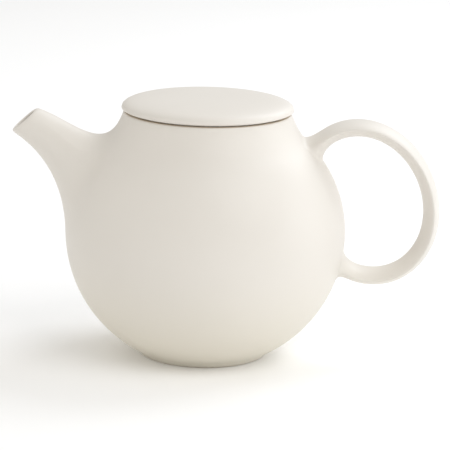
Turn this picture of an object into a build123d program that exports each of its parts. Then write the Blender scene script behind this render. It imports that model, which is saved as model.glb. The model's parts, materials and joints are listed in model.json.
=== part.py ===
"""Round porcelain teapot with a ring handle, a low domed lid and a lift-out steel mesh infuser.

Millimetres, +Z up. The origin is the centre of the foot ring, on the table.
The spout points along -X and the handle along +X; XZ is the plane of symmetry.
The pot is made of four clay parts luted together: bowl, shoulder, spout and handle.
The infuser hangs by its flange on the rim, and the lid rests on that flange.
"""

import os
from math import asin, cos, degrees, exp, radians, sin

from build123d import *

# ---------------------------------------------------------------- driving dimensions
# body: the outer profile is a lower arc, an upper arc and a concave neck arc, all tangent
BELLY_RADIUS = 59.1  # largest outer radius
BELLY_HEIGHT = 53.2  # height of that radius above the table
LOWER_ARC = 57.5  # profile radius below the belly
UPPER_ARC = 52.1  # profile radius above the belly
NECK_ANGLE = 45.0  # where the upper arc turns into the neck, in degrees above the belly
RIM_RADIUS = 35.5  # outside of the rim
RIM_HEIGHT = 104.4
RIM_ROUND = 0.8
WALL = 3.6
MOUTH_RADIUS = 31.2  # the bore that the infuser drops through
MOUTH_DEPTH = 4.0
FOOT_RADIUS = 26.6
FOOT_WIDTH = 3.8
FOOT_HEIGHT = 2.2
FLOOR_HEIGHT = 6.6  # top of the pot's floor

# spout: two curves in the plane of symmetry, each from the pouring lip down into the body
SPOUT_UNDER = [(-81.4, 94.0), (-76.7, 89.6), (-60.1, 83.2), (-58.2, 50.0)]
SPOUT_OVER = [(-70.8, 103.7), (-57.0, 99.4), (-45.8, 86.2), (-36.2, 99.9)]
SPOUT_LIP_WIDTH = 13.5  # across, at the lip
SPOUT_ROOT_WIDTH = 35.0  # across, inside the body
SPOUT_SPREAD = 2.2  # how late the width grows from lip to root
SPOUT_STATIONS = 10
SPOUT_LIP_WALL = 1.8
BORE_STATIONS = 8  # the bore follows this many of the stations, then turns into the body
BORE_ROOT = (-38.0, 68.0, 35.0)  # middle of the bore's inner end, and its tilt in degrees
BORE_ROOT_WIDTH = 25.0
BORE_ROOT_HEIGHT = 27.0

# handle: a band of oval section along an upright, slightly leaning oval ring
RING_CENTRE = (67.4, 67.1)
RING_HALF_WIDTH = 26.9
RING_HALF_HEIGHT = 32.5
RING_LEAN = 22.7
RING_START = -154.0  # degrees round the ring, inside the body below
RING_END = 126.0  # and above
BAND_THICKNESS = 6.9
BAND_WIDTH = 18.0
BAND_STATIONS = 19
ROOT_FLARE = 1.6  # extra half thickness where the band meets the body
ROOT_FLARE_LENGTH = 14.0  # measured from the ends of the ring, which are inside the body

# lid
LID_RADIUS = 36.2
LID_THICKNESS = 5.3
LID_EDGE_DROP = 4.7  # from the top of the lid to its widest line
LID_CROWN = 25.1  # how far the flat of the crown reaches
LID_UNDER_RADIUS = 35.1
SKIRT_RADIUS = 28.4  # the ring under the lid that keeps it centred
SKIRT_WALL = 3.4
SKIRT_DEPTH = 7.4
LID_RECESS = 1.0  # the underside inside the skirt, above the lid's seat

# infuser: flanged collar, woven mesh wall and base, rings that hold them
FLANGE_RADIUS = 34.0
FLANGE_THICKNESS = 0.8
COLLAR_RADIUS = 30.6
COLLAR_SHEET = 0.6
COLLAR_DEPTH = 14.4
MESH_THICKNESS = 0.45
MESH_LAP = 8.0  # how far the mesh reaches up inside the collar
BAND_SHEET = 0.4
FIT_GAP = 0.05  # between pieces that are spot welded or crimped
INFUSER_BOTTOM = 36.0
BASE_RING_HEIGHT = 7.0
BASE_LIP_WIDTH = 5.0
SEAM_WIDTH = 5.0
SEAM_THICKNESS = 0.3

# ---------------------------------------------------------------- worked out from those
lower_centre = (BELLY_RADIUS - LOWER_ARC, BELLY_HEIGHT)
upper_centre = (BELLY_RADIUS - UPPER_ARC, BELLY_HEIGHT)
seat_height = RIM_HEIGHT + FLANGE_THICKNESS
collar_bore = COLLAR_RADIUS - COLLAR_SHEET
collar_foot = seat_height - COLLAR_DEPTH
mesh_radius = collar_bore - FIT_GAP
mesh_bore = mesh_radius - MESH_THICKNESS
mesh_top = collar_foot + MESH_LAP
base_ring_bore = mesh_radius + FIT_GAP
base_ring_top = INFUSER_BOTTOM + BASE_RING_HEIGHT


def angle_below_belly(radius, height):
    """Degrees below the belly at which a profile arc of this radius passes a height."""
    return degrees(asin((BELLY_HEIGHT - height) / radius))


def spout_station(share, wall):
    """Plane, half width and half height of the spout's section, from lip (0) to root (1)."""
    under = spout_under @ share
    over = spout_over @ share
    half_width = (SPOUT_LIP_WIDTH + (SPOUT_ROOT_WIDTH - SPOUT_LIP_WIDTH) * share**SPOUT_SPREAD) / 2
    across = Vector(0, 1, 0)
    plane = Plane(origin=(under + over) / 2, x_dir=across, z_dir=across.cross(over - under))
    return plane, half_width - wall, (over - under).length / 2 - wall


def ring_profile(inside, outside, bottom, top):
    """Rectangle on the XZ plane that revolves into a ring or a sleeve."""
    with Locations(((inside + outside) / 2, (bottom + top) / 2)):
        Rectangle(outside - inside, top - bottom)


# ---------------------------------------------------------------- the body's solid outside, and its hollow
with BuildPart() as body_outside:
    with BuildSketch(Plane.XZ) as outer_profile:
        with BuildLine() as outer_line:
            foot_angle = angle_below_belly(LOWER_ARC, FOOT_HEIGHT)
            belly_low = CenterArc(lower_centre, LOWER_ARC, -foot_angle, foot_angle)
            belly_high = CenterArc(upper_centre, UPPER_ARC, 0, NECK_ANGLE)
            neck = TangentArc(belly_high @ 1, (RIM_RADIUS, RIM_HEIGHT), tangent=belly_high % 1)
            Polyline(neck @ 1, (0, RIM_HEIGHT), (0, 0), (FOOT_RADIUS, 0), belly_low @ 0)
        make_face()
    revolve(axis=Axis.Z)

with BuildPart() as body_hollow:
    with BuildSketch(Plane.XZ) as inner_profile:
        with BuildLine() as inner_line:
            floor_angle = angle_below_belly(LOWER_ARC - WALL, FLOOR_HEIGHT)
            low = CenterArc(lower_centre, LOWER_ARC - WALL, -floor_angle, floor_angle)
            high = CenterArc(upper_centre, UPPER_ARC - WALL, 0, NECK_ANGLE)
            throat = TangentArc(high @ 1, (MOUTH_RADIUS, RIM_HEIGHT - MOUTH_DEPTH), tangent=high % 1)
            Polyline(throat @ 1, (MOUTH_RADIUS, RIM_HEIGHT), (0, RIM_HEIGHT), (0, FLOOR_HEIGHT), low @ 0)
        make_face()
    revolve(axis=Axis.Z)

# ---------------------------------------------------------------- spout
with BuildLine(Plane.XZ) as spout_curves:
    spout_under = Bezier(*SPOUT_UNDER)
    spout_over = Bezier(*SPOUT_OVER)

with BuildPart() as spout_bore:
    for station in range(BORE_STATIONS):
        share = station / (SPOUT_STATIONS - 1)
        section, half_width, half_height = spout_station(share, SPOUT_LIP_WALL + (WALL - SPOUT_LIP_WALL) * share)
        with BuildSketch(section):
            Ellipse(half_width, half_height)
    root_up = Vector(sin(radians(BORE_ROOT[2])), 0, cos(radians(BORE_ROOT[2])))
    root_across = Vector(0, 1, 0)
    with BuildSketch(Plane((BORE_ROOT[0], 0, BORE_ROOT[1]), x_dir=root_across, z_dir=root_across.cross(root_up))):
        Ellipse(BORE_ROOT_WIDTH / 2, BORE_ROOT_HEIGHT / 2)
    loft()

with BuildPart() as spout:
    for station in range(SPOUT_STATIONS):
        section, half_width, half_height = spout_station(station / (SPOUT_STATIONS - 1), 0)
        with BuildSketch(section):
            Ellipse(half_width, half_height)
    loft()
    add(body_outside.part, mode=Mode.SUBTRACT)
    add(spout_bore.part, mode=Mode.SUBTRACT)
spout.part.label = "spout"

# ---------------------------------------------------------------- body, made as a bowl and a shoulder
with BuildPart() as body:
    add(body_outside.part)
    add(body_hollow.part, mode=Mode.SUBTRACT)
    add(spout_bore.part, mode=Mode.SUBTRACT)
    with BuildSketch(Plane.XY):
        Circle(FOOT_RADIUS - FOOT_WIDTH)
    extrude(amount=FOOT_HEIGHT, mode=Mode.SUBTRACT)
    rim_edges = body.edges().filter_by(GeomType.CIRCLE).group_by(Axis.Z)[-1]
    fillet(rim_edges.sort_by(SortBy.RADIUS)[-1], RIM_ROUND)

with BuildPart() as pot_bowl:
    add(body.part)
    split(bisect_by=Plane.XY.offset(BELLY_HEIGHT), keep=Keep.BOTTOM)
pot_bowl.part.label = "pot_bowl"

with BuildPart() as pot_shoulder:
    add(body.part)
    split(bisect_by=Plane.XY.offset(BELLY_HEIGHT), keep=Keep.TOP)
pot_shoulder.part.label = "pot_shoulder"

# ---------------------------------------------------------------- handle
with BuildLine(Plane.XZ) as ring_line:
    ring = EllipticalCenterArc(
        RING_CENTRE,
        RING_HALF_WIDTH,
        RING_HALF_HEIGHT,
        start_angle=RING_START,
        arc_size=RING_END - RING_START,
        rotation=RING_LEAN,
    )

with BuildPart() as handle:
    for station in range(BAND_STATIONS):
        share = station / (BAND_STATIONS - 1)
        from_end = min(share, 1 - share) * ring.length
        flare = ROOT_FLARE * exp(-((from_end / ROOT_FLARE_LENGTH) ** 4))
        with BuildSketch(Plane(origin=ring @ share, x_dir=(0, 1, 0), z_dir=ring % share)):
            Ellipse(BAND_WIDTH / 2 + flare, BAND_THICKNESS / 2 + flare)
    loft()
    add(body_outside.part, mode=Mode.SUBTRACT)
handle.part.label = "handle"

# ---------------------------------------------------------------- lid
with BuildPart() as lid:
    lid_top = seat_height + LID_THICKNESS
    widest = lid_top - LID_EDGE_DROP
    with BuildSketch(Plane.XZ) as lid_profile:
        with BuildLine() as lid_line:
            edge_top = (LID_RADIUS, lid_top - LID_EDGE_DROP / 6)
            Bezier((0, lid_top), (LID_CROWN, lid_top), edge_top, (LID_RADIUS, widest))
            Bezier((LID_RADIUS, widest), (LID_RADIUS, seat_height), (LID_UNDER_RADIUS, seat_height))
            Polyline(
                (LID_UNDER_RADIUS, seat_height),
                (SKIRT_RADIUS, seat_height),
                (SKIRT_RADIUS, seat_height - SKIRT_DEPTH),
                (SKIRT_RADIUS - SKIRT_WALL, seat_height - SKIRT_DEPTH),
                (SKIRT_RADIUS - SKIRT_WALL, seat_height + LID_RECESS),
                (0, seat_height + LID_RECESS),
                (0, lid_top),
            )
        make_face()
    revolve(axis=Axis.Z)
    fillet(lid.edges().group_by(Axis.Z)[0], SKIRT_WALL * 0.35)
lid.part.label = "lid"

# ---------------------------------------------------------------- infuser
with BuildPart() as infuser_collar:
    with BuildSketch(Plane.XZ):
        ring_profile(collar_bore, COLLAR_RADIUS, collar_foot, seat_height)
        ring_profile(collar_bore, FLANGE_RADIUS, RIM_HEIGHT, seat_height)
    revolve(axis=Axis.Z)
    flange_edges = infuser_collar.edges().filter_by(GeomType.CIRCLE).group_by(Axis.Z)[-1]
    fillet(flange_edges.sort_by(SortBy.RADIUS)[0], COLLAR_SHEET * 0.9)
infuser_collar.part.label = "infuser_collar"

with BuildPart() as infuser_mesh_wall:
    with BuildSketch(Plane.XZ):
        ring_profile(mesh_bore, mesh_radius, INFUSER_BOTTOM + BAND_SHEET + FIT_GAP, mesh_top)
    revolve(axis=Axis.Z)
infuser_mesh_wall.part.label = "infuser_mesh_wall"

with BuildPart() as infuser_clamp_band:
    with BuildSketch(Plane.XZ):
        ring_profile(mesh_bore - FIT_GAP - BAND_SHEET, mesh_bore - FIT_GAP, collar_foot, mesh_top)
    revolve(axis=Axis.Z)
infuser_clamp_band.part.label = "infuser_clamp_band"

with BuildPart() as infuser_base_ring:
    ring_outside = base_ring_bore + BAND_SHEET
    with BuildSketch(Plane.XZ):
        ring_profile(base_ring_bore, ring_outside, INFUSER_BOTTOM, base_ring_top)
        ring_profile(mesh_bore - BASE_LIP_WIDTH, ring_outside, INFUSER_BOTTOM, INFUSER_BOTTOM + BAND_SHEET)
    revolve(axis=Axis.Z)
infuser_base_ring.part.label = "infuser_base_ring"

with BuildPart() as infuser_base_mesh:
    with BuildSketch(Plane.XY.offset(INFUSER_BOTTOM + BAND_SHEET + FIT_GAP)):
        Circle(mesh_bore - FIT_GAP)
    extrude(amount=MESH_THICKNESS)
infuser_base_mesh.part.label = "infuser_base_mesh"

with BuildPart() as infuser_seam_strip:
    strip_bore = mesh_radius + FIT_GAP
    with BuildSketch(Plane.XZ):
        ring_profile(strip_bore, strip_bore + SEAM_THICKNESS, base_ring_top + FIT_GAP, collar_foot - FIT_GAP)
    revolve(axis=Axis.Z, revolution_arc=degrees(SEAM_WIDTH / strip_bore))
infuser_seam_strip.part.label = "infuser_seam_strip"

# ---------------------------------------------------------------- write the pieces
pieces = [
    pot_bowl,
    pot_shoulder,
    spout,
    handle,
    lid,
    infuser_collar,
    infuser_mesh_wall,
    infuser_clamp_band,
    infuser_base_ring,
    infuser_base_mesh,
    infuser_seam_strip,
]
os.makedirs("parts", exist_ok=True)
for piece in pieces:
    export_step(piece.part, f"parts/{piece.part.label}.step")
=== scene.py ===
"""The looks of a porcelain teapot with a lift-out steel infuser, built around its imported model.

Sizes are in millimetres and become metres when a mesh is written. +Z is up, the spout points
along -X and the handle along +X, and the origin is the centre of the foot ring on the table.
"""

import json
import math

import bmesh
import bpy
import numpy as np
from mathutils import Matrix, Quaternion, Vector


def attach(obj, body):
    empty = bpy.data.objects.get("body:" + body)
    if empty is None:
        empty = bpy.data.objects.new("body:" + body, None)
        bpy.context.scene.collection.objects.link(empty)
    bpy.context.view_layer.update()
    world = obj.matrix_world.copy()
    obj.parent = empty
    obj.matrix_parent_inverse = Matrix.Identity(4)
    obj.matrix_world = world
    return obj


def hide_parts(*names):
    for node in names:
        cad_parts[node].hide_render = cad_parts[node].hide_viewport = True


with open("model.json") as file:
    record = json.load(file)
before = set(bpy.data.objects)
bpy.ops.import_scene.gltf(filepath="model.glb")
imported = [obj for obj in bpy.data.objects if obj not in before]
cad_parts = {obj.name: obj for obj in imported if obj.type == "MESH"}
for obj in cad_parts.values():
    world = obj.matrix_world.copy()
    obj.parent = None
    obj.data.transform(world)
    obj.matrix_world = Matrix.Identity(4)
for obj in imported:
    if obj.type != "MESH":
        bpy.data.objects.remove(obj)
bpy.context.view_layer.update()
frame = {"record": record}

MM = 0.001
COLUMNS = 180  # faces round everything that is turned

# ---------------------------------------------------------------- sizes
BELLY_RADIUS = 59.1
BELLY_HEIGHT = 53.2
LOWER_ARC = 57.5
UPPER_ARC = 52.1
NECK_ANGLE = 45.0
RIM_RADIUS = 35.5
RIM_HEIGHT = 104.4
RIM_ROUND = 1.0
MOUTH_RADIUS = 31.2
MOUTH_ROUND = 0.6
MOUTH_DEPTH = 4.0
WALL = 3.6
FLOOR_HEIGHT = 6.6
FOOT_RADIUS = 26.6
FOOT_WIDTH = 3.8
FOOT_HEIGHT = 2.6
FOOT_EDGE = 0.9
RECESS_HEIGHT = 2.5  # of the underside inside the foot ring, where it starts to rise to the middle
RECESS_RISE = 0.4
RECESS_INSET = 2.0
RECESS_CORNER = 1.0
ROW_SPACING = 2.0
BORE_SPACING = 1.6
GLAZE_LINE = 0.25  # how high above the table the glaze starts

LIP_MIDDLE = np.array([-76.1, 0.0, 98.8])
LIP_OVER = np.array([0.735, 0.0, 0.678])  # from the middle of the lip to its highest point
LIP_HALF_HEIGHT = 7.25
LIP_HALF_WIDTH = 6.75
LIP_WALL = 1.9
SPOUT_FALL = 30.8  # degrees below horizontal, from the lip towards the pot
SPOUT_SPREAD = 13.1  # degrees that the spout opens towards the pot, each side

RING_CENTRE = np.array([67.4, 0.0, 67.1])
RING_HALF_WIDTH = 26.9
RING_HALF_HEIGHT = 32.5
RING_LEAN = 22.7
BAND_THICKNESS = 6.9
BAND_WIDTH = 18.0
BAND_RIDGE = 0.8  # how far the widest line of the section lies outside its middle
BAND_EDGE = 1.45  # 1 is an oval section, 2 a lens with sharp edges
BAND_TOP = 98.0  # degrees round the ring, where the upper root ends and the even band starts
BAND_BOTTOM = -123.0
BAND_ROWS = 60
BAND_ROOT_PULL = 3.2

FLANGE_RADIUS = 34.0
FLANGE_THICKNESS = 0.8
COLLAR_RADIUS = 30.6
COLLAR_SHEET = 0.6
COLLAR_DEPTH = 14.4
COLLAR_BEND = 1.4
FIT_GAP = 0.05  # between pieces that are welded or crimped together
MESH_RADIUS = COLLAR_RADIUS - COLLAR_SHEET - FIT_GAP
MESH_THICKNESS = 0.45
MESH_LAP = 8.0
WEAVE_PITCH = 1.05
WIRE = 0.26
BAND_SHEET = 0.4
INFUSER_BOTTOM = 36.0
BASE_RING_HEIGHT = 7.0
BASE_RING_BEND = 1.3
BASE_LIP_WIDTH = 5.0
SEAM_WIDTH = 5.0
SEAM_THICKNESS = 0.3
WELD_WIDTH = 1.5
WELD_DEPTH = 0.16
BAND_WELDS = 24
SEAM_WELDS = 9
SEAM_WELD_PITCH = 5

LID_RADIUS = 36.2
LID_THICKNESS = 5.3
LID_EDGE_DROP = 4.7
LID_CROWN = 25.1
LID_UNDER_RADIUS = 35.1
SKIRT_RADIUS = 28.4
SKIRT_WALL = 3.4
SKIRT_DEPTH = 7.4
SKIRT_FILLET = 1.2  # between the lid's seat and the outside of the skirt
SKIRT_EDGE = 1.3
LID_RECESS = 1.0
RECESS_FILLET = 2.0

seat_height = RIM_HEIGHT + FLANGE_THICKNESS
collar_foot = seat_height - COLLAR_DEPTH
sleeve_bore = MESH_RADIUS - MESH_THICKNESS
lower_centre = (BELLY_RADIUS - LOWER_ARC, BELLY_HEIGHT)
upper_centre = (BELLY_RADIUS - UPPER_ARC, BELLY_HEIGHT)
column_angles = np.radians(np.arange(COLUMNS) * 360 / COLUMNS)


# ---------------------------------------------------------------- curves
def arc(centre, radius, start, end, steps=240):
    """Points on a circular arc, from one angle to another in degrees."""
    angles = np.radians(np.linspace(start, end, steps))
    x, y = centre
    return np.column_stack([x + radius * np.cos(angles), y + radius * np.sin(angles)])


def tangent_arc(start, heading, end, steps=240):
    """Points on the arc that leaves start at a heading in degrees and arrives at end."""
    start, end = np.array(start), np.array(end)
    forward = np.array([math.cos(math.radians(heading)), math.sin(math.radians(heading))])
    side = np.array([-forward[1], forward[0]])
    chord = end - start
    radius = chord @ chord / (2 * chord @ side)
    turn = 2 * math.atan2(chord @ side, chord @ forward)
    along = np.linspace(0, turn, steps)
    ahead = np.outer(radius * np.sin(along), forward)
    return start + ahead + np.outer(radius * (1 - np.cos(along)), side)


def bezier(controls, shares):
    """Points at shares 0 to 1 on a Bezier curve. A control may be one point or a row of them."""
    degree = len(controls) - 1
    total = 0
    for k, control in enumerate(controls):
        weight = math.comb(degree, k) * shares**k * (1 - shares) ** (degree - k)
        total = total + np.multiply.outer(weight, control)
    return total


class Path:
    """A curve of many short steps that is read by the distance along it."""

    def __init__(self, *stretches):
        points = np.vstack(stretches)
        steps = np.linalg.norm(np.diff(points, axis=0), axis=1)
        keep = np.concatenate([[True], steps > 1e-6])
        self.points = points[keep]
        steps = np.linalg.norm(np.diff(self.points, axis=0), axis=1)
        self.distance = np.concatenate([[0], np.cumsum(steps)])
        self.length = self.distance[-1]

    def at(self, distance):
        """Points at one or many distances."""
        columns = [np.interp(distance, self.distance, column) for column in self.points.T]
        return np.stack(columns, axis=-1)

    def rows(self, spacing):
        """Points spaced evenly, both ends included."""
        count = max(2, round(self.length / spacing) + 1)
        return self.at(np.linspace(0, self.length, count))


# ---------------------------------------------------------------- meshes
class Skin:
    """Rows of points and the faces between them, written out as one piece."""

    def __init__(self):
        self.points = []
        self.faces = []

    def row(self, points):
        """Adds a row of points and returns the points' numbers."""
        first = len(self.points)
        self.points.extend(np.asarray(points, float).reshape(-1, 3))
        return np.arange(first, len(self.points))

    def circle(self, radius, height):
        """Adds a level circle about the axis and returns its points' numbers."""
        x, y = radius * np.cos(column_angles), radius * np.sin(column_angles)
        return self.row(np.column_stack([x, y, np.full(COLUMNS, height)]))

    def band(self, row_a, row_b):
        """Closed band of four-sided faces between two rows of equal count."""
        next_a, next_b = np.roll(row_a, -1), np.roll(row_b, -1)
        self.faces.extend(np.column_stack([row_a, next_a, next_b, row_b]).tolist())

    def onward(self, row, points):
        """Adds a row of points and the band that joins it to a row. Returns its points' numbers."""
        after = self.row(points)
        self.band(row, after)
        return after

    def lathe(self, row, profile):
        """Carries a row on through circles of (radius, height). Returns the last one."""
        for radius, height in profile:
            after = self.circle(radius, height)
            self.band(row, after)
            row = after
        return row

    def fan(self, row, middle):
        """Closes a row with triangles to a middle point."""
        centre = self.row(middle)[0]
        for a, b in zip(row, np.roll(row, -1)):
            self.faces.append([a, b, centre])

    def piece(self, name, materials, pick=None):
        """Writes the mesh, its faces outwards and smooth; pick gives each face's material."""
        mesh = bpy.data.meshes.new(name)
        mesh.from_pydata([tuple(p * MM) for p in self.points], [], self.faces)
        work = bmesh.new()
        work.from_mesh(mesh)
        bmesh.ops.remove_doubles(work, verts=work.verts, dist=1e-6)
        bmesh.ops.recalc_face_normals(work, faces=work.faces)
        for face in work.faces:
            face.smooth = True
            if pick:
                face.material_index = pick(face.calc_center_median() / MM)
        work.to_mesh(mesh)
        work.free()
        for material in materials:
            mesh.materials.append(material)
        built = bpy.data.objects.new(name, mesh)
        bpy.context.scene.collection.objects.link(built)
        return built


def turned(name, outline, materials, pick=None):
    """A closed outline of (radius, height) points, turned about the upright axis."""
    skin = Skin()
    rows = [height if radius < 1e-6 else skin.circle(radius, height) for radius, height in outline]
    for a, b in zip(rows, rows[1:] + rows[:1]):
        if np.isscalar(a) and np.isscalar(b):
            continue
        if np.isscalar(a) or np.isscalar(b):
            ring, height = (b, a) if np.isscalar(a) else (a, b)
            skin.fan(ring, [(0, 0, height)])
        else:
            skin.band(a, b)
    return skin.piece(name, materials, pick)


# ---------------------------------------------------------------- the pot's wall
def wall_paths():
    """The pot's profile as paths of (radius, height): underside, outside, rim and inside."""
    foot_angle = math.degrees(math.asin((BELLY_HEIGHT - FOOT_HEIGHT) / LOWER_ARC))
    belly_low = arc(lower_centre, LOWER_ARC, -foot_angle, 0)
    belly_high = arc(upper_centre, UPPER_ARC, 0, NECK_ANGLE)
    neck = tangent_arc(belly_high[-1], 90 + NECK_ANGLE, (RIM_RADIUS, RIM_HEIGHT - RIM_ROUND))
    outside = Path(belly_low, belly_high, neck)

    foot_inside = FOOT_RADIUS - FOOT_WIDTH
    corner = (foot_inside - RECESS_INSET, RECESS_HEIGHT - RECESS_CORNER)
    underside = Path(
        [(0, RECESS_HEIGHT + RECESS_RISE), (corner[0], RECESS_HEIGHT)],
        arc(corner, RECESS_CORNER, 90, 20, 12),
        arc((foot_inside + FOOT_EDGE, FOOT_EDGE), FOOT_EDGE, 190, 270, 12),
        arc((FOOT_RADIUS - FOOT_EDGE, FOOT_EDGE), FOOT_EDGE, 270, 330, 12),
        [belly_low[0]],
    )
    rim = Path(
        arc((RIM_RADIUS - RIM_ROUND, RIM_HEIGHT - RIM_ROUND), RIM_ROUND, 0, 90, 12),
        arc((MOUTH_RADIUS + MOUTH_ROUND, RIM_HEIGHT - MOUTH_ROUND), MOUTH_ROUND, 90, 180, 12),
        [(MOUTH_RADIUS, RIM_HEIGHT - MOUTH_DEPTH)],
    )
    drop = BELLY_HEIGHT - FLOOR_HEIGHT - 1  # the wall's inside turns into the floor 1 mm above it
    floor_angle = math.degrees(math.asin(drop / (LOWER_ARC - WALL)))
    low = arc(lower_centre, LOWER_ARC - WALL, -floor_angle, 0)
    high = arc(upper_centre, UPPER_ARC - WALL, 0, NECK_ANGLE)
    throat = tangent_arc(high[-1], 90 + NECK_ANGLE, (MOUTH_RADIUS, RIM_HEIGHT - MOUTH_DEPTH))
    inside = Path(low, high, throat)
    return underside, outside, rim, inside


class Wall:
    """One side of the pot's wall as a grid: rows up the profile, columns round the axis."""

    def __init__(self, skin, path, spacing):
        self.path = path
        self.profile = path.rows(spacing)
        self.spacing = path.length / (len(self.profile) - 1)
        self.rows = [skin.row(self.point(column_angles, np.full(COLUMNS, k * self.spacing)))
                     for k in range(len(self.profile))]

    def point(self, angle, distance):
        """Points on the wall at angles round the axis and distances up the profile."""
        radius, height = np.moveaxis(self.path.at(distance), -1, 0)
        return np.stack([radius * np.cos(angle), radius * np.sin(angle), height], axis=-1)

    def distance_at(self, height):
        """How far up the profile a height is."""
        return float(np.interp(height, self.path.points[:, 1], self.path.distance))


class Opening:
    """A patch left out of a wall's grid, where a tube grows out of it.

    heading is the tube's direction round the axis in degrees. low and high are the heights of its
    root on the wall, half_angle its half width in degrees, and columns and rows the patch's size.
    """

    def __init__(self, wall, heading, low, high, half_angle, columns, rows):
        self.wall = wall
        self.columns = columns
        self.rows = rows
        bottom, top = wall.distance_at(low), wall.distance_at(high)
        self.middle = np.array([math.radians(heading), (bottom + top) / 2])
        self.half = np.array([math.radians(half_angle), (top - bottom) / 2])
        self.first_row = round(self.middle[1] / wall.spacing - rows / 2)
        self.first_column = round(heading * COLUMNS / 360 - columns / 2)
        self.edge = self.edge_loop()

    def edge_loop(self):
        """(column, row) of each point round the patch, from its lower left corner."""
        c0, r0 = self.first_column, self.first_row
        c1, r1 = c0 + self.columns, r0 + self.rows
        below = [(c, r0) for c in range(c0, c1)]
        right = [(c1, r) for r in range(r0, r1)]
        above = [(c, r1) for c in range(c1, c0, -1)]
        left = [(c0, r) for r in range(r1, r0, -1)]
        return below + right + above + left

    def covers(self, column, row):
        """Whether the face that starts at this column and row is left out."""
        in_columns = (column - self.first_column) % COLUMNS < self.columns
        return in_columns and self.first_row <= row < self.first_row + self.rows

    def root(self, skin, steps):
        """Fills the patch in to the tube's root.

        Returns the root's row, its points, the wall's slopes away from it and its points' turns.
        """
        edge = np.array(self.edge, float)
        angles, distances = edge[:, 0] * 2 * math.pi / COLUMNS, edge[:, 1] * self.wall.spacing
        offsets = np.column_stack([angles, distances]) - self.middle
        reach = np.array([self.columns * math.pi / COLUMNS, self.rows * self.wall.spacing / 2])
        turns = np.arctan2(offsets[:, 1] / reach[1], offsets[:, 0] / reach[0])
        rims = np.column_stack([np.cos(turns), np.sin(turns)]) * self.half
        row = np.array([self.wall.rows[r][c % COLUMNS] for c, r in self.edge])
        for step in range(1, steps + 1):
            share = step / steps
            spots = self.middle + offsets * (1 - share) + rims * share
            row = skin.onward(row, self.wall.point(spots[:, 0], spots[:, 1]))
        root_spots = self.middle + rims
        outer_spots = self.middle + rims * 1.01
        root = self.wall.point(root_spots[:, 0], root_spots[:, 1])
        slopes = unit(self.wall.point(outer_spots[:, 0], outer_spots[:, 1]) - root)
        return row, root, slopes, turns


def unit(vectors):
    """The same directions with a length of one."""
    return vectors / np.linalg.norm(vectors, axis=-1, keepdims=True)


def fill_wall(skin, wall, openings):
    """Faces of a wall's grid, apart from its openings."""
    for r, (row, above) in enumerate(zip(wall.rows, wall.rows[1:])):
        for c in range(COLUMNS):
            if any(opening.covers(c, r) for opening in openings):
                continue
            d = (c + 1) % COLUMNS
            skin.faces.append([row[c], row[d], above[d], above[c]])


def grow(skin, row, root, slopes, ends, headings, wall_pull, end_pull, steps):
    """Tube from a root on the wall to a ring of end points, in one smooth blend.

    headings are the directions in which the tube arrives at the ends. The pulls are how far, in
    millimetres, it keeps to the wall's slope and to those headings. Returns its last row.
    """
    controls = [root, root - slopes * wall_pull[:, None], ends - headings * end_pull[:, None], ends]
    for share in np.linspace(0, 1, steps + 1)[1:]:
        row = skin.onward(row, bezier(controls, share))
    return row


def spout_ends(turns, half_width, half_height):
    """Ring of the spout at the lip, and the directions in which its sides arrive there."""
    across = np.outer(np.cos(turns), [0, -1, 0])
    over = np.outer(np.sin(turns), LIP_OVER)
    ring = LIP_MIDDLE + across * half_width + over * half_height
    fall = math.radians(SPOUT_FALL)
    axis = np.array([-math.cos(fall), 0, math.sin(fall)])
    upright = np.array([math.sin(fall), 0, math.cos(fall)])
    radial = np.outer(np.cos(turns), [0, -1, 0]) + np.outer(np.sin(turns), upright)
    spread = math.radians(SPOUT_SPREAD)
    return ring, axis * math.cos(spread) - radial * math.sin(spread)


def between(turns, under, side, over):
    """A value round a ring, from its values at the under side, the flanks and the upper side."""
    height = np.sin(turns)
    return side + (over - under) / 2 * height + ((over + under) / 2 - side) * height**2


def build_pot(glaze, biscuit):
    """Body, spout and handle as one skin, because they are one piece of clay after firing."""
    skin = Skin()
    underside, outside, rim, inside = wall_paths()
    outer = Wall(skin, outside, ROW_SPACING)
    inner = Wall(skin, inside, BORE_SPACING)

    spout_size = {"columns": 32, "rows": 31}
    handle_size = {"columns": 16, "rows": 10}
    spout_outside = Opening(outer, heading=180, low=51.5, high=99.7, half_angle=25, **spout_size)
    spout_inside = Opening(inner, heading=180, low=58.0, high=88.0, half_angle=17, **spout_size)
    handle_above = Opening(outer, heading=0, low=83.5, high=95.0, half_angle=13.5, **handle_size)
    handle_below = Opening(outer, heading=0, low=33.5, high=46.5, half_angle=11.5, **handle_size)
    fill_wall(skin, outer, [spout_outside, handle_above, handle_below])
    fill_wall(skin, inner, [spout_inside])

    # foot, rim and floor join the two sides of the wall into one closed skin
    row = skin.lathe(outer.rows[0], underside.rows(0.7)[-2:0:-1])
    skin.fan(row, [(0, 0, underside.points[0, 1])])
    row = skin.lathe(outer.rows[-1], rim.rows(0.35)[1:-1])
    skin.band(row, inner.rows[-1])
    side_foot = inner.profile[0]
    floor_edge = (side_foot[0] - 9.0, FLOOR_HEIGHT)
    corner = bezier([side_foot, side_foot - (3.0, 1.6), floor_edge], np.linspace(0, 1, 8))
    flat = [(radius, FLOOR_HEIGHT) for radius in (18, 12, 6, 2)]
    row = skin.lathe(inner.rows[0], list(corner[1:]) + flat)
    skin.fan(row, [(0, 0, FLOOR_HEIGHT)])

    build_spout(skin, spout_outside, spout_inside)
    build_handle(skin, handle_above, handle_below)

    def bare(centre):
        """1 on the foot's base and the rim's top, which are left unglazed, and 0 elsewhere."""
        reach = math.hypot(centre[0], centre[1])
        on_rim = centre[2] > RIM_HEIGHT - 0.12 and reach < RIM_RADIUS
        return int(centre[2] < GLAZE_LINE or on_rim)

    return skin.piece("pot_porcelain", [glaze, biscuit], bare)


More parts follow.
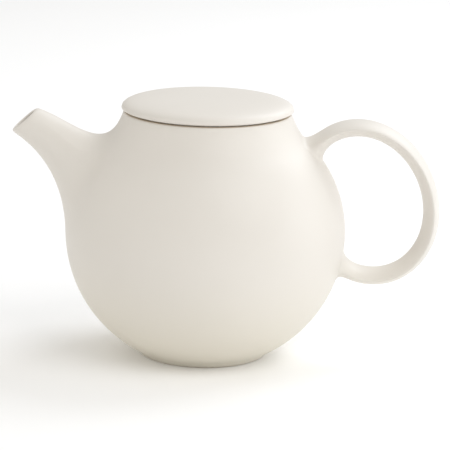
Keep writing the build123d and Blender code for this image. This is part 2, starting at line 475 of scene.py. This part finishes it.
def build_spout(skin, outside, inside):
    """Outside and bore of the spout, from their openings in the wall, and the round lip between."""
    row, root, slopes, turns = outside.root(skin, 4)
    ends, headings = spout_ends(turns, LIP_HALF_WIDTH, LIP_HALF_HEIGHT)
    wall_pull = between(turns, under=30.5, side=20.0, over=15.8)
    end_pull = between(turns, under=2.5, side=13.0, over=13.3)
    out_row = grow(skin, row, root, slopes, ends, headings, wall_pull, end_pull, 40)
    row, root, slopes, turns = inside.root(skin, 6)
    bore_ends, _ = spout_ends(turns, LIP_HALF_WIDTH - LIP_WALL, LIP_HALF_HEIGHT - LIP_WALL)
    wall_pull = between(turns, under=26.0, side=16.0, over=9.0)
    end_pull = between(turns, under=5.5, side=12.0, over=13.0)
    bore_row = grow(skin, row, root, slopes, bore_ends, headings, wall_pull, end_pull, 40)
    row = out_row
    middle = (ends + bore_ends) / 2
    half = (ends - bore_ends) / 2
    forward = headings * np.linalg.norm(half, axis=1, keepdims=True)
    for angle in np.radians(np.linspace(0, 180, 9))[1:-1]:
        row = skin.onward(row, middle + half * math.cos(angle) + forward * math.sin(angle))
    skin.band(row, bore_row)


def ring_point(angle):
    """The handle's middle line at an angle round its oval: point, direction and outward side."""
    lean = math.radians(RING_LEAN)
    minor = np.array([math.cos(lean), 0, math.sin(lean)])
    major = np.array([-math.sin(lean), 0, math.cos(lean)])
    cosine, sine = math.cos(angle), math.sin(angle)
    point = RING_CENTRE + RING_HALF_WIDTH * cosine * minor + RING_HALF_HEIGHT * sine * major
    along = unit(-RING_HALF_WIDTH * sine * minor + RING_HALF_HEIGHT * cosine * major)
    outward = np.array([along[2], 0, -along[0]])
    return point, along, outward


def band_ring(angle, turns):
    """Points round the handle's band; a turn of 0 is its +Y edge and 90 degrees its outer face."""
    point, _, outward = ring_point(angle)
    across = np.cos(turns) * BAND_WIDTH / 2
    bulge = np.sign(np.sin(turns)) * np.abs(np.sin(turns)) ** BAND_EDGE
    out = BAND_RIDGE + bulge * (BAND_THICKNESS / 2 - np.sign(bulge) * BAND_RIDGE)
    return point + np.outer(across, [0, 1, 0]) + np.outer(out, outward)


def build_handle(skin, above, below):
    """The handle's band, with a short root at each of its two openings in the wall."""
    top, bottom = math.radians(BAND_TOP), math.radians(BAND_BOTTOM)
    row, root, slopes, upper_turns = above.root(skin, 3)
    count = len(upper_turns)
    pull = np.full(count, BAND_ROOT_PULL)
    _, along, _ = ring_point(top)
    ends, headings = band_ring(top, upper_turns), np.tile(-along, (count, 1))
    upper_row = grow(skin, row, root, slopes, ends, headings, pull, pull * 1.1, 8)
    row, root, slopes, lower_turns = below.root(skin, 3)
    _, along, _ = ring_point(bottom)
    ends, headings = band_ring(bottom, -lower_turns), np.tile(along, (count, 1))
    lower_row = grow(skin, row, root, slopes, ends, headings, pull, pull * 1.1, 8)

    # the lower patch is counted the other way round, so that the outer faces meet
    order = np.roll(np.arange(len(lower_row))[::-1], 1 - below.rows)
    lower_row, lower_turns = lower_row[order], -lower_turns[order]
    lower_turns = upper_turns + (lower_turns - upper_turns + math.pi) % (2 * math.pi) - math.pi
    row = upper_row
    for step in range(1, BAND_ROWS):
        share = step / BAND_ROWS
        turns = upper_turns * (1 - share) + lower_turns * share
        row = skin.onward(row, band_ring(top * (1 - share) + bottom * share, turns))
    skin.band(row, lower_row)


# ---------------------------------------------------------------- the lid
def build_lid(glaze, biscuit):
    """Low domed lid with a soft edge, and the ring under it that keeps it on the mouth."""
    top = seat_height + LID_THICKNESS
    widest = top - LID_EDGE_DROP
    shares = np.linspace(0, 1, 60)
    shoulder = (LID_RADIUS, top - LID_EDGE_DROP / 6)
    crown = bezier([(0, top), (LID_CROWN, top), shoulder, (LID_RADIUS, widest)], shares)
    seat_edge = (LID_UNDER_RADIUS, seat_height)
    edge = bezier([(LID_RADIUS, widest), (LID_RADIUS, seat_height), seat_edge], shares)
    inside = SKIRT_RADIUS - SKIRT_WALL
    foot = seat_height - SKIRT_DEPTH
    ceiling = seat_height + LID_RECESS
    skirt = Path(
        [seat_edge, (SKIRT_RADIUS + SKIRT_FILLET, seat_height)],
        arc((SKIRT_RADIUS + SKIRT_FILLET, seat_height - SKIRT_FILLET), SKIRT_FILLET, 90, 180, 12),
        arc((SKIRT_RADIUS - SKIRT_EDGE, foot + SKIRT_EDGE), SKIRT_EDGE, 0, -90, 12),
        arc((inside + SKIRT_EDGE, foot + SKIRT_EDGE), SKIRT_EDGE, 270, 180, 12),
        arc((inside - RECESS_FILLET, ceiling - RECESS_FILLET), RECESS_FILLET, 0, 90, 12),
    )
    outline = list(Path(crown).rows(1.2)) + list(Path(edge).rows(0.25)[1:])
    outline += list(skirt.rows(0.6)[1:]) + [(radius, ceiling) for radius in (18, 13, 8, 3, 0)]

    def bare(centre):
        """1 on the skirt's foot and the lid's seat, which are left unglazed, and 0 elsewhere."""
        reach = math.hypot(centre[0], centre[1])
        on_seat = abs(centre[2] - seat_height) < 0.1 and reach > SKIRT_RADIUS
        return int(centre[2] < foot + 0.3 or on_seat)

    return turned("lid_porcelain", outline, [glaze, biscuit], bare)


# ---------------------------------------------------------------- materials
class Value:
    """An output in a node tree. Arithmetic with it adds Math nodes to the tree."""

    def __init__(self, graph, socket):
        self.graph = graph
        self.socket = socket

    def math(self, operation, *others):
        return self.graph.node("ShaderNodeMath", {"operation": operation}, [self, *others])

    def __add__(self, other):
        return self.math("ADD", other)

    def __sub__(self, other):
        return self.math("SUBTRACT", other)

    def __mul__(self, other):
        return self.math("MULTIPLY", other)

    def __truediv__(self, other):
        return self.math("DIVIDE", other)

    __radd__ = __add__


class Graph:
    """A node tree that is written as expressions."""

    def __init__(self, tree):
        self.tree = tree

    def node(self, kind, settings=None, inputs=(), output=0):
        """Adds a node and returns one of its outputs.

        inputs are in order, or a dict by name or number. Each is a plain value, an output that is
        linked to it, or a list of outputs for an input that takes several.
        """
        made = self.tree.nodes.new(kind)
        for name, value in (settings or {}).items():
            setattr(made, name, value)
        pairs = inputs.items() if isinstance(inputs, dict) else enumerate(inputs)
        for key, value in pairs:
            links = value if isinstance(value, list) else [value]
            if isinstance(links[0], Value):
                for link in links:
                    self.tree.links.new(link.socket, made.inputs[key])
            else:
                made.inputs[key].default_value = value
        return Value(self, made.outputs[output])

    def mix(self, factor, a, b):
        """A colour between two colours."""
        # the colour sockets go by number, because the node's other data types use the same names
        a, b = (end if isinstance(end, Value) else (*end, 1) for end in (a, b))
        return self.node("ShaderNodeMix", {"data_type": "RGBA"}, {0: factor, 6: a, 7: b}, output=2)


class Finish(Graph):
    """A material with one Principled shader, painted on Object coordinates in metres."""

    def __init__(self, name, **constants):
        self.material = bpy.data.materials.new(name)
        self.material.use_nodes = True
        super().__init__(self.material.node_tree)
        self.tree.nodes.clear()
        self.shader = self.tree.nodes.new("ShaderNodeBsdfPrincipled")
        output = self.tree.nodes.new("ShaderNodeOutputMaterial")
        self.tree.links.new(self.shader.outputs[0], output.inputs[0])
        self.place = self.node("ShaderNodeTexCoord", output="Object")
        for socket, value in constants.items():
            self.shader.inputs[socket.replace("_", " ")].default_value = value

    def paint(self, socket, value):
        """Links or sets one of the shader's sockets."""
        if isinstance(value, Value):
            self.tree.links.new(value.socket, self.shader.inputs[socket])
        else:
            self.shader.inputs[socket].default_value = value

    def noise(self, size, detail=2.0, rough=0.5, place=None):
        """Noise whose blotches are about size millimetres across, from 0 to 1."""
        return self.node("ShaderNodeTexNoise", None, {
            "Vector": place or self.place,
            "Scale": 1 / (size * MM),
            "Detail": detail,
            "Roughness": rough,
        })

    def bump(self, height, strength, depth):
        """Normal of a height from 0 to 1, where 1 stands depth millimetres out."""
        return self.node("ShaderNodeBump", None,
                         {"Strength": strength, "Distance": depth * MM, "Height": height})


def satin_glaze(name, colour, shade, foot_shade):
    """Satin porcelain glaze: warm white, slightly uneven in tone and gloss, with fine orange peel.

    It mottles between colour and shade, and grows warmer and darker towards the foot as painted
    shade.
    """
    finish = Finish(name, IOR=1.5, Coat_Roughness=0.35, Coat_IOR=1.45)
    clouds = finish.noise(38, 3.0, 0.55)
    blush = finish.noise(9, 2.0, 0.5)
    tone = clouds * 0.7 + blush * 0.3
    height = finish.node("ShaderNodeSeparateXYZ", None, [finish.place], output=2)
    # painted shade: the colour warms and darkens from the belly down to the foot, where the pot is
    # in shade
    foot_shade_share = finish.node("ShaderNodeMapRange", {"interpolation_type": "SMOOTHSTEP"}, {
        "Value": height,
        "From Min": 0.0,
        "From Max": BELLY_HEIGHT * MM,
        "To Min": 1.0,
        "To Max": 0.0,
    })
    finish.paint("Base Color", finish.mix(foot_shade_share * 0.9, finish.mix(tone, shade, colour), foot_shade))
    finish.paint("Roughness", 0.5 + (blush - 0.5) * 0.06 + (clouds - 0.5) * 0.05)
    finish.paint("Coat Weight", 0.05 + clouds * 0.06)
    peel = finish.noise(1.1, 2.0, 0.45)
    throwing = finish.noise(16, 1.0, 0.4)
    finish.paint("Normal", finish.bump(peel * 0.25 + throwing * 0.75, 0.28, 0.10))
    return finish.material


def bare_biscuit():
    """Unglazed porcelain where pieces stood in the kiln: dry, slightly darker, finely grained."""
    finish = Finish("bare_biscuit", IOR=1.5)
    grain = finish.noise(0.35, 3.0, 0.7)
    finish.paint("Base Color", finish.mix(grain, (0.60, 0.51, 0.40), (0.70, 0.62, 0.51)))
    finish.paint("Roughness", 0.8 + grain * 0.12)
    finish.paint("Normal", finish.bump(grain, 0.5, 0.05))
    return finish.material


def brushed_steel():
    """Stainless sheet, brushed round the axis: fine streaks, tea tarnish and soft reflections."""
    finish = Finish("brushed_steel", Metallic=1.0)
    x, y, z = (finish.node("ShaderNodeSeparateXYZ", None, [finish.place], output=axis)
               for axis in range(3))
    angle = y.math("ARCTAN2", x)
    radius = (x * x + y * y).math("SQRT")
    streaks = finish.node("ShaderNodeCombineXYZ", None, [radius, z, angle * (0.6 * MM)])
    brushing = finish.noise(0.12, 3.0, 0.65, streaks)
    tarnish = finish.noise(11, 3.0, 0.6)
    finish.paint("Base Color", finish.mix(tarnish, (0.60, 0.58, 0.55), (0.70, 0.69, 0.67)))
    finish.paint("Roughness", 0.24 + brushing * 0.14 + tarnish * 0.06)
    finish.paint("Normal", finish.bump(brushing, 0.35, 0.012))
    return finish.material


def drawn_wire():
    """Drawn stainless wire, a shade darker than the sheet and slightly tea-stained in places."""
    finish = Finish("drawn_wire", Metallic=1.0)
    stain = finish.noise(7, 3.0, 0.6)
    draw = finish.noise(0.3, 2.0, 0.5)
    finish.paint("Base Color", finish.mix(stain, (0.46, 0.44, 0.41), (0.60, 0.59, 0.57)))
    finish.paint("Roughness", 0.30 + draw * 0.12)
    finish.paint("Normal", finish.bump(draw, 0.2, 0.01))
    return finish.material


# ---------------------------------------------------------------- the infuser's cloth and welds
class Growth(Graph):
    """A Geometry Nodes tree with named sizes as inputs, run once and kept as a plain mesh."""

    def __init__(self, name, **sizes):
        super().__init__(bpy.data.node_groups.new(name, "GeometryNodeTree"))
        self.name = name
        self.sizes = sizes
        interface = self.tree.interface
        for size, value in sizes.items():
            kind = "NodeSocketInt" if isinstance(value, int) else "NodeSocketFloat"
            interface.new_socket(size, in_out="INPUT", socket_type=kind)
        interface.new_socket("Geometry", in_out="OUTPUT", socket_type="NodeSocketGeometry")
        self.entry = self.tree.nodes.new("NodeGroupInput")

    def size(self, name):
        """One of the named sizes, as a value in the tree."""
        return Value(self, self.entry.outputs[name])

    def copies(self, thing, count):
        """Many copies of a mesh, one after the other in one mesh."""
        spots = self.node("GeometryNodeMeshLine", None, {"Count": count})
        placed = self.node("GeometryNodeInstanceOnPoints", None,
                           {"Points": spots, "Instance": thing})
        return self.node("GeometryNodeRealizeInstances", None, [placed])

    def numbers(self, steps):
        """Each point's strand and its step along it, where every strand has this many steps."""
        index = self.node("GeometryNodeInputIndex")
        strand = ((index + 0.5) / steps).math("FLOOR")
        return strand, index - strand * steps

    def laid(self, strands, place):
        """Strands with their points moved to a place."""
        return self.node("GeometryNodeSetPosition", None, {"Geometry": strands, "Position": place})

    def wire(self, strands, thickness):
        """Wire of four-sided section along strands."""
        line = self.node("GeometryNodeMeshToCurve", None, [strands])
        section = self.node("GeometryNodeCurvePrimitiveCircle", None,
                            {"Resolution": 4, "Radius": thickness / 2})
        return self.node("GeometryNodeCurveToMesh", None,
                         {"Curve": line, "Profile Curve": section, "Fill Caps": True})

    def piece(self, geometry, material):
        """Runs the tree and returns its result as an object with a plain mesh."""
        whole = self.node("GeometryNodeRealizeInstances", None, [geometry])
        dressed = self.node("GeometryNodeSetMaterial", None,
                            {"Geometry": whole, "Material": material})
        output = self.tree.nodes.new("NodeGroupOutput")
        self.tree.links.new(dressed.socket, output.inputs[0])
        built = bpy.data.objects.new(self.name, bpy.data.meshes.new("blank"))
        bpy.context.scene.collection.objects.link(built)
        modifier = built.modifiers.new("growth", "NODES")
        modifier.node_group = self.tree
        for item in self.tree.interface.items_tree:
            if item.in_out == "INPUT":
                modifier[item.identifier] = self.sizes[item.name]
        shaped = built.evaluated_get(bpy.context.evaluated_depsgraph_get())
        mesh = bpy.data.meshes.new_from_object(shaped)
        built.modifiers.clear()
        built.data = mesh
        mesh.name = self.name
        mesh.shade_smooth()
        return built


def polar(graph, radius, angle, height):
    """A place from its radius, angle in radians and height."""
    x, y = radius * angle.math("COSINE"), radius * angle.math("SINE")
    return graph.node("ShaderNodeCombineXYZ", None, [x, y, height])


def weave_swing(growth, wave, number):
    """How far wires swing out of their sheet: a wave along each, turned over on every other one."""
    return wave * (number * math.pi).math("COSINE") * growth.size("Swing")


def sleeve_sizes():
    """Named sizes of the sleeve's weave, in metres, shared by its upright wires and its hoops."""
    low = INFUSER_BOTTOM + BAND_SHEET + WIRE
    high = collar_foot + MESH_LAP - WIRE / 2
    hoops = round((high - low) / WEAVE_PITCH)
    return {
        "Uprights": 2 * round(math.pi * MESH_RADIUS / WEAVE_PITCH),
        "Hoops": hoops,
        "Radius": (MESH_RADIUS - MESH_THICKNESS / 2) * MM,
        "Low": low * MM,
        "Half pitch": (high - low) / (2 * hoops) * MM,
        "Swing": (MESH_THICKNESS - WIRE) / 2 * MM,
        "Wire": WIRE * MM,
    }


def build_sleeve_uprights(wire):
    """The sleeve's upright wires: each passes outside one hoop and inside the next."""
    growth = Growth("infuser_sleeve_uprights", **sleeve_sizes())
    steps = growth.size("Hoops") * 2 + 1
    strand = growth.node("GeometryNodeMeshLine", None, {"Count": steps})
    strands = growth.copies(strand, growth.size("Uprights"))
    upright, step = growth.numbers(steps)
    swing = weave_swing(growth, (step * (math.pi / 2)).math("SINE"), upright)
    angle = upright * (2 * math.pi) / growth.size("Uprights")
    height = growth.size("Low") + step * growth.size("Half pitch")
    place = polar(growth, growth.size("Radius") + swing, angle, height)
    return growth.piece(growth.wire(growth.laid(strands, place), growth.size("Wire")), wire)


def build_sleeve_hoops(wire):
    """The sleeve's hoops: each passes inside one upright and outside the next."""
    growth = Growth("infuser_sleeve_hoops", **sleeve_sizes())
    steps = growth.size("Uprights") * 2
    strand = growth.node("GeometryNodeMeshCircle", None, {"Vertices": steps})
    strands = growth.copies(strand, growth.size("Hoops"))
    hoop, step = growth.numbers(steps)
    swing = weave_swing(growth, (step * (math.pi / 2)).math("COSINE"), hoop)
    angle = step * (2 * math.pi) / steps
    height = growth.size("Low") + (hoop * 2 + 1) * growth.size("Half pitch")
    place = polar(growth, growth.size("Radius") - swing, angle, height)
    return growth.piece(growth.wire(growth.laid(strands, place), growth.size("Wire")), wire)


def build_base_weave(wire):
    """Round of the same wire cloth for the infuser's base, cut from a square weave."""
    cut = sleeve_bore - FIT_GAP - 0.1
    growth = Growth(
        "infuser_base_weave",
        Wires=2 * round(cut / WEAVE_PITCH) + 1,
        **{
            "Half pitch": WEAVE_PITCH / 2 * MM,
            "Height": (INFUSER_BOTTOM + BAND_SHEET + FIT_GAP + MESH_THICKNESS / 2) * MM,
            "Cut": cut * MM,
            "Swing": (MESH_THICKNESS - WIRE) / 2 * MM,
            "Wire": WIRE * MM,
        },
    )
    steps = growth.size("Wires") * 2 - 1
    strand = growth.node("GeometryNodeMeshLine", None, {"Count": steps})
    strands = growth.copies(strand, growth.size("Wires"))
    number, step = growth.numbers(steps)
    middle = growth.size("Wires") - 1
    along = (step - middle) * growth.size("Half pitch")
    beside = (number * 2 - middle) * growth.size("Half pitch")
    swing = weave_swing(growth, (step * (math.pi / 2)).math("COSINE"), number)
    height = growth.size("Height")
    warp = growth.node("ShaderNodeCombineXYZ", None, [along, beside, height + swing])
    weft = growth.node("ShaderNodeCombineXYZ", None, [beside, along, height - swing])
    spot = growth.node("GeometryNodeInputPosition")
    from_axis = growth.node("ShaderNodeVectorMath", {"operation": "MULTIPLY"}, [spot, (1, 1, 0)])
    reach = growth.node("ShaderNodeVectorMath", {"operation": "LENGTH"}, [from_axis],
                        output="Value")
    beyond = reach.math("GREATER_THAN", growth.size("Cut"))
    wires = []
    for place in (warp, weft):
        round_cut = growth.node("GeometryNodeDeleteGeometry", {"domain": "POINT"},
                                {"Geometry": growth.laid(strands, place), "Selection": beyond})
        wires.append(growth.wire(round_cut, growth.size("Wire")))
    cloth = growth.node("GeometryNodeJoinGeometry", None, {0: wires})
    return growth.piece(cloth, wire)


def weld_spots(name, steel, count, radius, first, turn, low, rise):
    """A row of shallow round dimples from spot welding.

    The first stands at first degrees round the infuser and low millimetres up, and each next one
    is turn degrees and rise millimetres further on.
    """
    growth = Growth(name, **{
        "Count": count,
        "Radius": radius * MM,
        "First": math.radians(first),
        "Turn": math.radians(turn),
        "Low": low * MM,
        "Rise": rise * MM,
        "Width": WELD_WIDTH * MM,
        "Depth": WELD_DEPTH * MM,
    })
    spots = growth.node("GeometryNodeMeshLine", None, {"Count": growth.size("Count")})
    index = growth.node("GeometryNodeInputIndex")
    angle = growth.size("First") + index * growth.size("Turn")
    height = growth.size("Low") + index * growth.size("Rise")
    spots = growth.laid(spots, polar(growth, growth.size("Radius"), angle, height))
    dimple = growth.node("GeometryNodeMeshUVSphere", None,
                         {"Segments": 14, "Rings": 8, "Radius": 0.5})
    facing = growth.node("ShaderNodeCombineXYZ", None, {"Z": angle})
    shape = growth.node("ShaderNodeCombineXYZ", None,
                        [growth.size("Depth"), growth.size("Width"), growth.size("Width")])
    placed = growth.node("GeometryNodeInstanceOnPoints", None,
                         {"Points": spots, "Instance": dimple, "Rotation": facing, "Scale": shape})
    return growth.piece(placed, steel)


# ---------------------------------------------------------------- the infuser's pressed steel
def sheet_outline(*stretches, spacing=0.3):
    """Closed outline of a bent sheet, from stretches of (radius, height) points."""
    path = Path(*stretches, [stretches[0][0]])
    return list(path.rows(spacing)[:-1])


def build_collar(steel):
    """Pressed collar: a flange that hangs on the pot's rim, a rolled bend and a straight skirt."""
    bore = COLLAR_RADIUS - COLLAR_SHEET
    edge = COLLAR_SHEET / 2
    hem = FLANGE_THICKNESS / 2
    fillet = 0.35
    outline = sheet_outline(
        [(bore, collar_foot + edge), (bore, seat_height - COLLAR_BEND)],
        arc((bore + COLLAR_BEND, seat_height - COLLAR_BEND), COLLAR_BEND, 180, 90, 14),
        [(FLANGE_RADIUS - hem, seat_height)],
        arc((FLANGE_RADIUS - hem, seat_height - hem), hem, 90, -90, 12),
        [(COLLAR_RADIUS + fillet, RIM_HEIGHT)],
        arc((COLLAR_RADIUS + fillet, RIM_HEIGHT - fillet), fillet, 90, 180, 6),
        [(COLLAR_RADIUS, collar_foot + edge)],
        arc((COLLAR_RADIUS - edge, collar_foot + edge), edge, 0, -180, 10),
    )
    return turned("infuser_collar_steel", outline, [steel])


def build_clamp_band(steel):
    """Thin band inside the top of the sleeve."""
    outside = sleeve_bore - FIT_GAP
    inside = outside - BAND_SHEET
    top = collar_foot + MESH_LAP
    edge = BAND_SHEET / 2
    outline = sheet_outline(
        [(inside, collar_foot + edge), (inside, top - edge)],
        arc((outside - edge, top - edge), edge, 180, 0, 8),
        [(outside, collar_foot + edge)],
        arc((outside - edge, collar_foot + edge), edge, 0, -180, 8),
    )
    return turned("infuser_clamp_band_steel", outline, [steel])


def build_base_ring(steel):
    """Pressed ring that cups the sleeve's lower end and the edge of the base."""
    inner = MESH_RADIUS + FIT_GAP
    outer = inner + BAND_SHEET
    top = INFUSER_BOTTOM + BASE_RING_HEIGHT
    corner = (outer - BASE_RING_BEND, INFUSER_BOTTOM + BASE_RING_BEND)
    lip = sleeve_bore - BASE_LIP_WIDTH
    edge = BAND_SHEET / 2
    outline = sheet_outline(
        [(lip + edge, INFUSER_BOTTOM), (corner[0], INFUSER_BOTTOM)],
        arc(corner, BASE_RING_BEND, -90, 0, 12),
        [(outer, top - edge)],
        arc((outer - edge, top - edge), edge, 0, 180, 8),
        [(inner, corner[1])],
        arc(corner, BASE_RING_BEND - BAND_SHEET, 0, -90, 8),
        [(lip + edge, INFUSER_BOTTOM + BAND_SHEET)],
        arc((lip + edge, INFUSER_BOTTOM + edge), edge, 90, 270, 8),
    )
    return turned("infuser_base_ring_steel", outline, [steel])


def build_seam_strip(steel):
    """Flat strip over the sleeve's upright lap, with soft long edges."""
    skin = Skin()
    bore = MESH_RADIUS + FIT_GAP
    half = SEAM_WIDTH / 2
    turn = half / bore
    edge = SEAM_THICKNESS / 2
    section = np.vstack([
        np.column_stack([np.linspace(-half + edge, half - edge, 9), np.zeros(9)]),
        arc((half - edge, edge), edge, -90, 90, 7)[1:-1],
        np.column_stack([np.linspace(half - edge, -half + edge, 9), np.full(9, SEAM_THICKNESS)]),
        arc((-half + edge, edge), edge, 90, 270, 7)[1:-1],
    ])
    angles = section[:, 0] / bore + turn
    radii = bore + section[:, 1]
    low = INFUSER_BOTTOM + BASE_RING_HEIGHT + FIT_GAP
    high = collar_foot - FIT_GAP
    x, y = radii * np.cos(angles), radii * np.sin(angles)
    heights = np.linspace(low, high, 24)
    rows = [skin.row(np.column_stack([x, y, np.full(len(x), height)])) for height in heights]
    for a, b in zip(rows, rows[1:]):
        skin.band(a, b)
    middle = bore + edge
    for row, height in ((rows[0], low), (rows[-1], high)):
        skin.fan(row, [(middle * math.cos(turn), middle * math.sin(turn), height)])
    return skin.piece("infuser_seam_strip_steel", [steel])


# ---------------------------------------------------------------- studio
CAMERA_DISTANCE = 1300.0
CAMERA_HEADING = 0.4  # degrees round the pot, towards the handle
CAMERA_RISE = 13.1
CAMERA_ROLL = 1.3
CAMERA_LENS = 246.0
CAMERA_AIM = np.array([8.3, 0.0, 55.6])
SOFT_BOX_SIZE = 0.8  # metres
SOFT_BOX_DISTANCE = 1.3
COOL = (0.95, 1.0, 1.08)
WARM = (1.0, 0.95, 0.86)
SURROUNDINGS = (1.0, 0.985, 0.955)
SURROUNDINGS_STRENGTH = 0.65
FLOOR_REACH = 40.0  # metres
FLOOR_WHITE = 0.985
FLOOR_GLOW = 0.04
FLOOR_GLOW_TINT = (1.0, 0.97, 0.9)


def away(heading, rise):
    """Direction out from the pot at a heading from +X and a rise, both in degrees."""
    heading, rise = math.radians(heading), math.radians(rise)
    flat = math.cos(rise)
    return Vector((math.cos(heading) * flat, math.sin(heading) * flat, math.sin(rise)))


def place_camera():
    """Long lens a little above the pot, from the front."""
    data = bpy.data.cameras.new("camera")
    data.lens = CAMERA_LENS
    data.sensor_width = 36
    data.clip_start, data.clip_end = 0.1, 20
    camera = bpy.data.objects.new("camera", data)
    bpy.context.scene.collection.objects.link(camera)
    back = away(CAMERA_HEADING - 90, CAMERA_RISE)
    camera.location = Vector(CAMERA_AIM * MM) + back * CAMERA_DISTANCE * MM
    facing = (-back).to_track_quat("-Z", "Y")
    camera.rotation_mode = "QUATERNION"
    camera.rotation_quaternion = facing @ Quaternion((0, 0, 1), math.radians(CAMERA_ROLL))
    bpy.context.scene.camera = camera


def soft_box(name, heading, rise, watts, colour=(1, 1, 1)):
    """Square soft box turned towards the pot's belly."""
    data = bpy.data.lights.new(name, "AREA")
    data.shape = "SQUARE"
    data.size = SOFT_BOX_SIZE
    data.energy = watts
    data.color = colour
    light = bpy.data.objects.new(name, data)
    light.location = away(heading, rise) * SOFT_BOX_DISTANCE
    facing = Vector((0, 0, BELLY_HEIGHT * MM)) - light.location
    light.rotation_mode = "QUATERNION"
    light.rotation_quaternion = facing.to_track_quat("-Z", "Y")
    bpy.context.scene.collection.objects.link(light)


def build_studio():
    """Pale floor, pale surroundings and four soft boxes."""
    bpy.context.scene.view_settings.view_transform = "Standard"
    world = bpy.data.worlds.new("studio")
    world.use_nodes = True
    background = world.node_tree.nodes["Background"]
    background.inputs["Color"].default_value = (*SURROUNDINGS, 1)
    background.inputs["Strength"].default_value = SURROUNDINGS_STRENGTH
    bpy.context.scene.world = world

    finish = Finish("floor", Roughness=0.9)
    finish.paint("Base Color", (FLOOR_WHITE, FLOOR_WHITE, FLOOR_WHITE, 1))
    finish.paint("Emission Color", (*FLOOR_GLOW_TINT, 1))
    finish.paint("Emission Strength", FLOOR_GLOW)
    mesh = bpy.data.meshes.new("floor")
    signs = ((-1, -1), (1, -1), (1, 1), (-1, 1))
    corners = [(x * FLOOR_REACH, y * FLOOR_REACH, 0) for x, y in signs]
    mesh.from_pydata(corners, [], [(0, 1, 2, 3)])
    mesh.materials.append(finish.material)
    floor = bpy.data.objects.new("floor", mesh)
    bpy.context.scene.collection.objects.link(floor)

    soft_box("front", -50, 45, 4.35)
    soft_box("right", 0, 12, 3.3, COOL)
    soft_box("left", 180, 22, 1.15, WARM)
    soft_box("back", 45, 45, 5.7, COOL)


# ---------------------------------------------------------------- the object
porcelain = satin_glaze(
    "satin_glaze",
    colour=(0.776, 0.739, 0.685),
    shade=(0.744, 0.707, 0.650),
    # painted shade of the lower belly, mixed in towards the foot
    foot_shade=(0.760, 0.719, 0.620),
)
biscuit = bare_biscuit()

pot = build_pot(porcelain, biscuit)
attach(pot, "pot")
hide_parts(*frame["record"]["behaviour"]["bodies"]["pot"])

lid = build_lid(porcelain, biscuit)
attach(lid, "lid")
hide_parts("lid")

steel = brushed_steel()
wire = drawn_wire()
steel_pieces = {
    "infuser_collar": [build_collar(steel)],
    "infuser_clamp_band": [
        build_clamp_band(steel),
        weld_spots(
            "infuser_band_welds",
            steel,
            BAND_WELDS,
            radius=sleeve_bore - FIT_GAP - BAND_SHEET,
            first=0,
            turn=360 / BAND_WELDS,
            low=collar_foot + MESH_LAP / 2,
            rise=0,
        ),
    ],
    "infuser_base_ring": [build_base_ring(steel)],
    "infuser_seam_strip": [
        build_seam_strip(steel),
        weld_spots(
            "infuser_strip_welds",
            steel,
            SEAM_WELDS,
            radius=MESH_RADIUS + FIT_GAP + SEAM_THICKNESS,
            first=math.degrees(SEAM_WIDTH / 2 / (MESH_RADIUS + FIT_GAP)),
            turn=0,
            low=INFUSER_BOTTOM + 10,
            rise=SEAM_WELD_PITCH,
        ),
    ],
}
wire_pieces = {
    "infuser_mesh_wall": [build_sleeve_uprights(wire), build_sleeve_hoops(wire)],
    "infuser_base_mesh": [build_base_weave(wire)],
}
for slot, made in (("pressed_steel", steel_pieces), ("woven_mesh", wire_pieces)):
    for node, group in made.items():
        for piece in group:
            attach(piece, "infuser")
            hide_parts(node)

place_camera()
build_studio()
